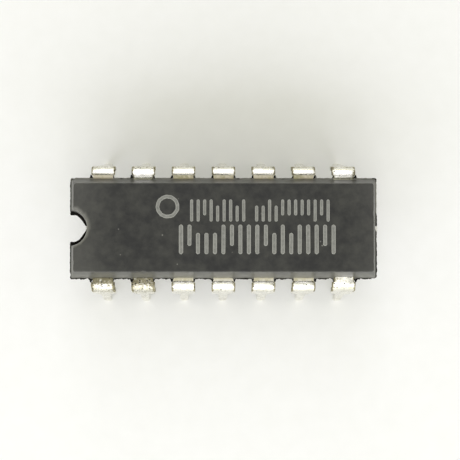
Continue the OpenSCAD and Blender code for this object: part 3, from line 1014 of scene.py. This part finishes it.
@dataclass
class SolderedLead:
    """Solder on the bend and leg of one lead, over the CAD sheet.

    Attributes:
        pin: Number of the lead, anticlockwise from the notch.
        state: How its solder looks.
        coat: Thickness of the solder.
        crown: How much thicker it is in the middle of a wide face.
        sunk: How far its two ends lie inside the sheet.
        sag: How much thicker a specked leg's solder is on the outside of the bend.
        side_shift: How much farther out the solder starts on the +Y side, and nearer on the -Y side.
    """

    pin: int
    state: SolderState
    leads: LeadRows = LeadRows()
    body_edge: float = 3.2
    root_run: float = 0.18
    bend_y: float = 3.435
    bend_r: float = 0.25
    sheet_t: float = 0.25
    splay: float = 7.0
    leg_w: float = 0.5
    point_w: float = 0.26
    tip_drop: float = 3.3
    taper_h: float = 0.9
    point_h: float = 0.45
    coat: float = 0.014
    crown: float = 0.016
    corner: float = 0.045
    step: float = 0.055
    sunk: float = 0.03
    sag: float = 0.045
    side_shift: float = 0.03
    lump_wave: float = 0.62
    grit_wave: float = 0.17
    clear_of_floor: float = 0.004

    @property
    def side(self) -> int:
        """Side of the housing that the lead stands on: -1 or 1."""
        return -1 if self.pin <= self.leads.per_side else 1

    @property
    def x(self) -> float:
        """Place of the lead's middle along the housing."""
        row = [*self.leads.places(), *self.leads.places()[::-1]]
        return row[self.pin - 1]

    def section(self, flat: int = 16, edge: int = 3, arc: int = 5) -> tuple[Array, Array]:
        """Section of the coat as numbers: the corner centre of each point, and its way out from there.

        The section is a rectangle with round corners. A point is the corner
        centre scaled along each axis, plus the corner radius along its way out.

        Args:
            flat: Points inside each wide face.
            edge: Points inside each narrow face.
            arc: Steps of each corner.

        Returns:
            Scales of the corner centre, and unit vectors outwards.
        """
        centres, outwards = [], []
        corners = np.array([[1, -1], [1, 1], [-1, 1], [-1, -1]])
        for number, corner in enumerate(corners):
            turn = math.pi / 2 * (number - 1 + np.linspace(0, 1, arc + 1))
            centres.append(np.repeat(corner[None], arc + 1, axis=0))
            outwards.append(np.stack([np.cos(turn), np.sin(turn)], axis=-1))
            count = edge if number % 2 == 0 else flat
            share = (np.arange(count) + 1)[:, None] / (count + 1)
            centres.append(corner + (corners[(number + 1) % 4] - corner) * share)
            outwards.append(np.repeat(outwards[-1][-1:], count, axis=0))
        return np.concatenate(centres), np.concatenate(outwards)

    def centre_line(self, s: Array) -> tuple[Array, Array, Array, Array]:
        """Middle of the sheet at each distance s from the housing: flat, round the bend and down the leg.

        Returns:
            y, z, the angle turned, and the distance down the leg, negative before it.
        """
        mean_r = self.bend_r + self.sheet_t / 2
        bend_z = self.leads.frame_z - mean_r
        full = math.radians(90 - self.splay)
        flat_end = self.bend_y - self.body_edge
        angle = np.clip((s - flat_end) / mean_r, 0, full)
        down = s - flat_end - mean_r * full
        flat = np.minimum(s - flat_end, 0)
        leg = np.maximum(down, 0)
        y = self.bend_y + flat + mean_r * np.sin(angle) + leg * math.cos(full)
        z = bend_z + mean_r * np.cos(angle) - leg * math.sin(full)
        return y, z, angle, down

    def half_width(self, s: Array, down: Array, leg_l: float) -> Array:
        """Half the sheet's width: root, shoulder, taper, leg and point."""
        halves = [self.leads.root_w / 2, self.leads.shoulder_w / 2]
        root = np.interp(s, [self.root_run, self.root_run + 0.02], halves)
        seat = leg_l - self.tip_drop / math.cos(math.radians(self.splay))
        places = [seat - self.taper_h, seat, leg_l - self.point_h, leg_l]
        widths = [halves[1], self.leg_w / 2, self.leg_w / 2, self.point_w / 2]
        return np.minimum(root, np.interp(down, places, widths))

    def surface(self) -> Shell:
        """The coat: its section carried along the centre line, lumpy, and shut inside the sheet at both ends.

        Point = centre line + section, where the section is the sheet's, grown
        by the coat. The wide faces crown as one minus the square of the place
        across, as molten solder does, and lumps move each point outwards.

        Returns:
            The coat, with the share of dirt and painted shade at each point.
        """
        lean = math.radians(self.splay)
        leg_l = (self.leads.frame_z - self.sheet_t / 2 - self.bend_r * (1 - math.sin(lean))) / math.cos(lean)
        bend_l = (self.bend_r + self.sheet_t / 2) * (math.pi / 2 - lean)
        end = self.bend_y - self.body_edge + bend_l + leg_l - self.sunk
        start = self.state.start + self.side_shift * self.side
        s = np.linspace(start, end, round((end - start) / self.step))[:, None]
        y, z, angle, down = self.centre_line(s)
        width = self.half_width(s, down, leg_l)
        ends = smooth_step(s, s[0], s[0] + 0.09) * smooth_step(s, s[-1], s[-1] - 0.12)
        coat = self.coat * ends - self.sunk * (1 - ends)
        centre, out = self.section()
        crown = self.crown * (1 - centre[:, 0] ** 2) * np.abs(out[:, 1]) * np.where(out[:, 1] > 0, 1, 0.6)
        narrow = np.clip(width / (self.leads.shoulder_w / 2), 0, 1)
        meniscus = self.state.rise * np.clip(1 - s / (self.bend_y - self.body_edge + 0.25), 0, 1.4)
        sag = self.sag * bell(down, -0.12, 0.2) * (self.state is SolderState.SPECKED)
        crown = crown + (meniscus / narrow + sag) * np.clip(out[:, 1], 0, 1)
        across = (width + coat - self.corner) * centre[:, 0] + self.corner * out[:, 0]
        half_t = self.sheet_t / 2 + coat - self.corner
        thick = half_t * centre[:, 1] + (self.corner + crown * narrow * ends) * out[:, 1]
        up_y, up_z = np.sin(angle), np.cos(angle)
        points = np.stack([self.x + across, y + thick * up_y, z + thick * up_z], axis=-1)
        way = np.stack([out[:, 0] + 0 * up_y, out[:, 1] * up_y, out[:, 1] * up_z], axis=-1)
        broad = lumps(points, self.lump_wave, seed=100 + self.pin)
        fine = lumps(points, self.grit_wave, seed=200 + self.pin)
        high = (self.state.lump * (broad + 0.2) + self.state.grit * fine) * ends
        points = points + way * np.maximum(high, -0.6 * self.coat)[..., None]
        points[..., 1] *= self.side
        points[..., 2] = np.maximum(points[..., 2], self.clear_of_floor)
        return Shell(points, value=self.grime_and_shade(s, down, centre[:, 0], broad))

    def grime_and_shade(self, s: Array, down: Array, across: Array, broad: Array) -> Array:
        """Share of flux and dirt, and of painted shade, at each point of the coat.

        It follows the lead's state, most near the root and least low on the
        leg. It is higher at the sheet's edges by the bend and towards the tip.
        Below the bend, and on the +Y side in a thin line across the bend, it is
        painted shade, the darker reflection there. Where the coat stops short of
        the housing, a line of flux marks its front.

        Args:
            s: Distance from the housing.
            down: Distance down the leg, negative before it.
            across: Place across the sheet, from -1 to 1.
            broad: Height of the broad lumps.

        Returns:
            A value from 0 to 1 for each point.
        """
        near_root = smooth_step(s, 0.5, 0.2)
        lower = smooth_step(down, 1.0, 2.6)
        grime_and_shade = self.state.grime_and_shade * (0.45 * near_root + 0.5 - 0.38 * lower) + 0.12 * broad * near_root
        grime_and_shade = grime_and_shade + 0.56 * across**10 * smooth_step(down, 0.9, 0.1) + 0.06 * near_root
        # Painted shade below the bend, more on the +Y side, and darker towards the tip.
        grime_and_shade = grime_and_shade + (0.15 + 0.02 * self.side) * bell(down, 0.15, 0.4) + 0.15 * smooth_step(down, 2.0, 4.0)
        # A thin painted dark line across the +Y bends, for their darker reflection.
        if self.side > 0:
            grime_and_shade = grime_and_shade + 0.31 * bell(down, -0.1, 0.13)
        if self.state.start > 0:
            grime_and_shade = grime_and_shade + (0.27 + 0.22 * self.side) * bell(s - s[0], 0.065, 0.03)
        return np.clip(grime_and_shade, 0, 1)

    def build(self, finish: Material) -> Object:
        """Makes the solder of this lead.

        Args:
            finish: Material of the solder.

        Returns:
            The new piece.
        """
        piece = make_piece(f"lead_{self.pin:02d}_solder", [self.surface()], [finish], "grime_and_shade", sharp_angle=60)
        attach(piece, BODY)
        report(piece)
        return piece


@dataclass
class TopMarks:
    """Plain marks in ink on the top face: two rows of upright strokes and one ring.

    Attributes:
        top_z: Height of the top face.
        film: Thickness of the ink.
        rows: For each row its first x, last x, middle y, stroke height, stroke width and pitch.
        breaks: Strokes left out of each row, by number.
        ring: Middle x, middle y, radius and stroke width of the ring.
        cut: Share of its height that a cut stroke lacks at one end.
    """

    top_z: float = field(default_factory=lambda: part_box("body")[1].z / MM)
    film: float = 0.012
    rows: tuple[tuple[float, ...], ...] = (
        (-2.0, 6.9, 1.06, 1.38, 0.19, 0.405),
        (-2.66, 6.85, -0.74, 1.84, 0.25, 0.528),
    )
    breaks: tuple[tuple[int, ...], ...] = ((9,), ())
    ring: tuple[float, ...] = (-3.5, 1.3, 0.62, 0.22)
    cut: float = 0.28

    def levels(self, half: float) -> tuple[Array, Array, Array]:
        """Section of a stroke, edge to middle: distance from its middle line, height and share of rim."""
        away = np.array([1.0, 1.0, 0.93, 0.78, 0.6, 0.3]) * half
        height = np.array([-0.01, *(np.array([0.5, 1.0, 0.95, 0.6, 0.55]) * self.film)])
        rim = np.array([1.0, 1.0, 1.0, 0.75, 0.05, 0.0])
        return away, height, rim

    def stroke(self, x: float, low: float, high: float, width: float, seed: int) -> Shell:
        """One upright stroke with round ends: circles about its middle line, drawn out along it.

        Args:
            x: Place along the housing.
            low: Lower end.
            high: Upper end.
            width: Width.
            seed: Start of the random draw of its uneven edge.

        Returns:
            The stroke, with how far each point is rim.
        """
        turn = np.linspace(0, 2 * math.pi, 40, endpoint=False) + math.pi / 80
        away, height, rim = self.levels(width / 2)
        far = away[:, None] * (1 + 0.05 * ripple(turn, 2 * math.pi, 0.9, seed))
        reach = (high - low - width) / 2
        flat_x = x + far * np.cos(turn)
        flat_y = (low + high) / 2 + np.sign(np.sin(turn)) * reach + far * np.sin(turn)
        rings = lift(np.stack([flat_x, flat_y], axis=-1), self.top_z + height)
        return Shell(rings, value=np.repeat(rim[:, None], len(turn), axis=1))

    def ring_stroke(self) -> Shell:
        """The ring: the section of a stroke carried once round a circle, as a closed tube."""
        x, y, radius, width = self.ring
        turn = np.linspace(0, 2 * math.pi, 96, endpoint=False)[:, None]
        away, height, rim = self.levels(width / 2)
        off = np.concatenate([-away, away[::-1]])
        tall, rim = (np.concatenate([each, each[::-1]]) for each in (height, rim))
        uneven = 1 + 0.012 * ripple(turn[:, 0], 2 * math.pi, 0.5, 31)[:, None]
        far = radius * uneven + off
        flat = x + far * np.cos(turn), y + far * np.sin(turn)
        rings = np.stack([*flat, self.top_z + tall + 0 * far], axis=-1)
        return Shell(rings, value=np.repeat(rim[None, :], len(turn), axis=0), looped=True)

    def strokes(self) -> Iterator[Shell]:
        """All strokes: most of them whole, the others cut short at one end, in a seeded order."""
        draw = np.random.default_rng(5)
        for number, (first, last, middle, tall, width, pitch) in enumerate(self.rows):
            count = int((last - first) / pitch) + 1
            form = draw.integers(0, 4, count)
            low_cut, high_cut = ((form == each) * self.cut * tall for each in (0, 1))
            for k in range(count):
                if k in self.breaks[number]:
                    continue
                ends = middle - tall / 2 + low_cut[k], middle + tall / 2 - high_cut[k]
                yield self.stroke(first + k * pitch, *ends, width, seed=40 * number + k)

    def build(self) -> Object:
        """Makes the marks as one piece on the top face."""
        shells = [*self.strokes(), self.ring_stroke()]
        piece = make_piece("marking_ink", shells, [MarkingInk().material()], "rim", sharp_angle=80)
        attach(piece, BODY)
        report(piece)
        return piece


@dataclass
class LeadFrame:
    """The CAD solids that stay as they are: leads, mounting pad, adhesive, chip and wires.

    Attributes:
        bright_leads: Leads whose plating the moulding's heat has hardly stained.
        straw_leads: Leads that it has stained straw up to the resin.
    """

    bright_leads: tuple[str, ...] = ("lead_08", "lead_13")
    straw_leads: tuple[str, ...] = ("lead_03", "lead_04", "lead_05", "lead_06")

    def finishes(self) -> dict[str, Material]:
        """A finish for each kind of node, by the start of the node's name."""
        # The same sheet on four leads that the heat stained straw up to the resin, and on two that it
        # hardly stained.
        straw = PlatedSheet(
            name="tin_plated_sheet_straw", stained="#CFC8AC", straw="#F4EFDF", olive="#D8D1B2", metallic=0.4
        )
        bright = PlatedSheet(
            name="tin_plated_sheet_bright",
            stained="#CFCBB0",
            straw="#FBFBE4",
            olive="#F2F0D6",
            plating="#FBFAEC",
            metallic=0.2,
        )
        # Rolled nickel-iron strip keeps long fine lines along it and is a silvery grey; its near-white colour
        # here is partly a painted highlight on the cut ends of the tie bars.
        strip = GrainedSolid("rolled_nickel_iron_painted_highlight", "#EAE8DF", "#FAF9F3", (2.0, 0.05, 0.05), 0.4, 0.5)
        # Flakes of silver in resin: dull grey with bright points.
        adhesive = GrainedSolid("silver_filled_epoxy", "#6D6D6A", "#B4B4B0", (0.03, 0.03, 0.03), 0.5, 0.6)
        # Etched and passivated silicon: dark, smooth and slightly blue, with fine tracks.
        silicon = GrainedSolid("passivated_silicon", "#2E3440", "#5A6270", (0.06, 0.02, 0.05), 0.18, 0.35)
        # Drawn gold keeps a satin shine along the wire.
        gold = GrainedSolid("drawn_gold", "#D9A93E", "#F0CB6A", (0.05, 0.05, 0.05), 0.28, 1.0)
        return {
            "lead_": PlatedSheet().material(),
            **dict.fromkeys(self.straw_leads, straw.material()),
            **dict.fromkeys(self.bright_leads, bright.material()),
            "die_pad": strip.material(),
            "die_attach": adhesive.material(),
            "die": silicon.material(),
            "bond_wire_": gold.material(),
        }

    def dress(self) -> None:
        """Gives each CAD node that is shown its finish, the one with the longest start of its name."""
        finishes = self.finishes()
        starts = sorted(finishes, key=len, reverse=True)
        for name, node in sorted(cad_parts.items()):
            start = next((each for each in starts if name.startswith(each)), None)
            if start is None:
                continue
            node.data.materials.clear()
            node.data.materials.append(finishes[start])
            log.info("%s: %s", name, finishes[start].name)


@dataclass(frozen=True)
class Softbox:
    """A large soft lamp.

    Attributes:
        name: Name of the lamp.
        place: Its middle.
        size: Its width and height.
        radiance: Its brightness, where 1 shows as white.
        tint: Its colour.
    """

    name: str
    place: tuple[float, float, float]
    size: tuple[float, float]
    radiance: float
    tint: str

    def build(self) -> None:
        """Adds the lamp, facing the object. Its power is pi times its brightness times its area."""
        lamp = bpy.data.lights.new(self.name, "AREA")
        lamp.shape = "RECTANGLE"
        lamp.size, lamp.size_y = (each * MM for each in self.size)
        lamp.energy = self.radiance * math.pi * lamp.size * lamp.size_y
        lamp.color = linear(self.tint)[:3]
        holder = new_object(self.name, lamp)
        holder.location = Vector(self.place) * MM
        holder.rotation_mode = "QUATERNION"
        holder.rotation_quaternion = (-Vector(self.place)).to_track_quat("-Z", "Y")


@dataclass
class Studio:
    """Camera, floor, lamps and surroundings."""

    eye: tuple[float, float, float] = (-1.032, -3.741, 100.615)
    aim: tuple[float, float, float] = (0.415, -0.091, 5.725)
    lens: float = 117.25
    sensor: float = 36.0
    floor_size: float = 1600.0
    surround: str = "#F7F7F0"
    light: float = 1.85
    near_walls: str = "#FFFFD7"
    far_walls: str = "#AAAA8E"
    zenith: str = "#8A8A85"
    horizon_rise: float = 0.574
    lamps: tuple[Softbox, ...] = (
        Softbox("near_softbox", (-10.0, -212.0, 350.0), (150.0, 365.0), 1.28, "#FFFFF4"),
        Softbox("window_softbox", (-46.0, -329.0, 240.0), (700.0, 250.0), 2.56, "#E9E9FA"),
        Softbox("far_softbox", (-15.0, 290.0, 290.0), (175.0, 560.0), 1.6, "#F8F7FF"),
    )

    def camera(self) -> None:
        """Sets the camera where the photograph was taken from, upright along +Y."""
        data = bpy.data.cameras.new("camera")
        data.lens, data.sensor_width = self.lens, self.sensor
        data.clip_start, data.clip_end = 0.01, 10
        holder = new_object("camera", data)
        ahead = (Vector(self.aim) - Vector(self.eye)).normalized()
        right = ahead.cross(Vector((0, 1, 0))).normalized()
        turn = Matrix((right, right.cross(ahead), -ahead)).transposed()
        holder.matrix_world = Matrix.Translation(Vector(self.eye) * MM) @ turn.to_4x4()
        bpy.context.scene.camera = holder

    def floor(self) -> None:
        """Lays the floor: one square face at the height of the lead tips."""
        half = self.floor_size / 2
        corners = np.array([[-half, -half, 0], [half, -half, 0], [half, half, 0], [-half, half, 0]])
        mesh = bpy.data.meshes.new("floor")
        mesh.from_pydata((corners * MM).tolist(), [], [[0, 1, 2, 3]])
        mesh.materials.append(MattPaper().material())
        ground = new_object("floor", mesh)
        ground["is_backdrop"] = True

    def world(self) -> None:
        """Sets the surroundings: pale walls, brightest towards -Y and at the horizon.

        The camera sees one plain colour there, like the floor's own.
        """
        made = bpy.data.worlds.new("studio")
        bpy.context.scene.world = made
        tree = empty_tree(made)
        seen = add(tree, "LightPath").outputs["Is Camera Ray"]
        way = add(tree, "SeparateXYZ", {"Vector": add(tree, "TexCoord").outputs["Generated"]})
        nearer = add(tree, "MapRange", {"Value": way.outputs["Y"], "From Min": 1.0, "From Max": -1.0})
        above = add(tree, "MapRange", {"Value": way.outputs["Z"], "From Max": self.horizon_rise})
        horizon = add(tree, "Mix", {FACTOR: nearer, A: self.far_walls, B: self.near_walls}, data_type="RGBA")
        walls = add(tree, "Mix", {FACTOR: above, A: horizon, B: self.zenith}, data_type="RGBA")
        light = add(tree, "Background", {"Color": walls, "Strength": self.light})
        wall = add(tree, "Background", {"Color": self.surround, "Strength": 1.0})
        add(tree, "OutputWorld", {"Surface": add(tree, "MixShader", {0: seen, 1: light, 2: wall})})

    def build(self) -> None:
        """Sets up the whole studio."""
        self.camera()
        self.floor()
        self.world()
        for lamp in self.lamps:
            lamp.build()
        bpy.context.scene.view_settings.view_transform = "Standard"
        log.info("studio: %d lamps", len(self.lamps))


def solder_state(pin: int) -> SolderState:
    """State of a lead's solder, as in the photo; a lead that the table leaves out is clean."""
    special = {
        SolderState.ROUGH: (1, 2),
        SolderState.SPECKED: (3, 4, 5, 6),
        SolderState.FLOODED: (7,),
        SolderState.WET: (8, 13),
    }
    return next((state for state, pins in special.items() if pin in pins), SolderState.CLEAN)


def write_sizes() -> None:
    """Works out the CAD model's box and the dressed model's box, in metres, and keeps neither."""
    boxes = {"cad": CAD_BOX, "visual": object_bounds()}
    {name: [list(corner) for corner in box] for name, box in boxes.items()}


def main() -> None:
    """Builds the studio and every piece in order."""
    logging.basicConfig(level=logging.INFO, format="%(message)s")
    Studio().build()
    Housing().build()
    solder = DippedSolder().material()
    for pin in range(1, 2 * LeadRows().per_side + 1):
        SolderedLead(pin, solder_state(pin)).build(solder)
    TopMarks().build()
    LeadFrame().dress()


if __name__ == "__main__":
    main()
    write_sizes()
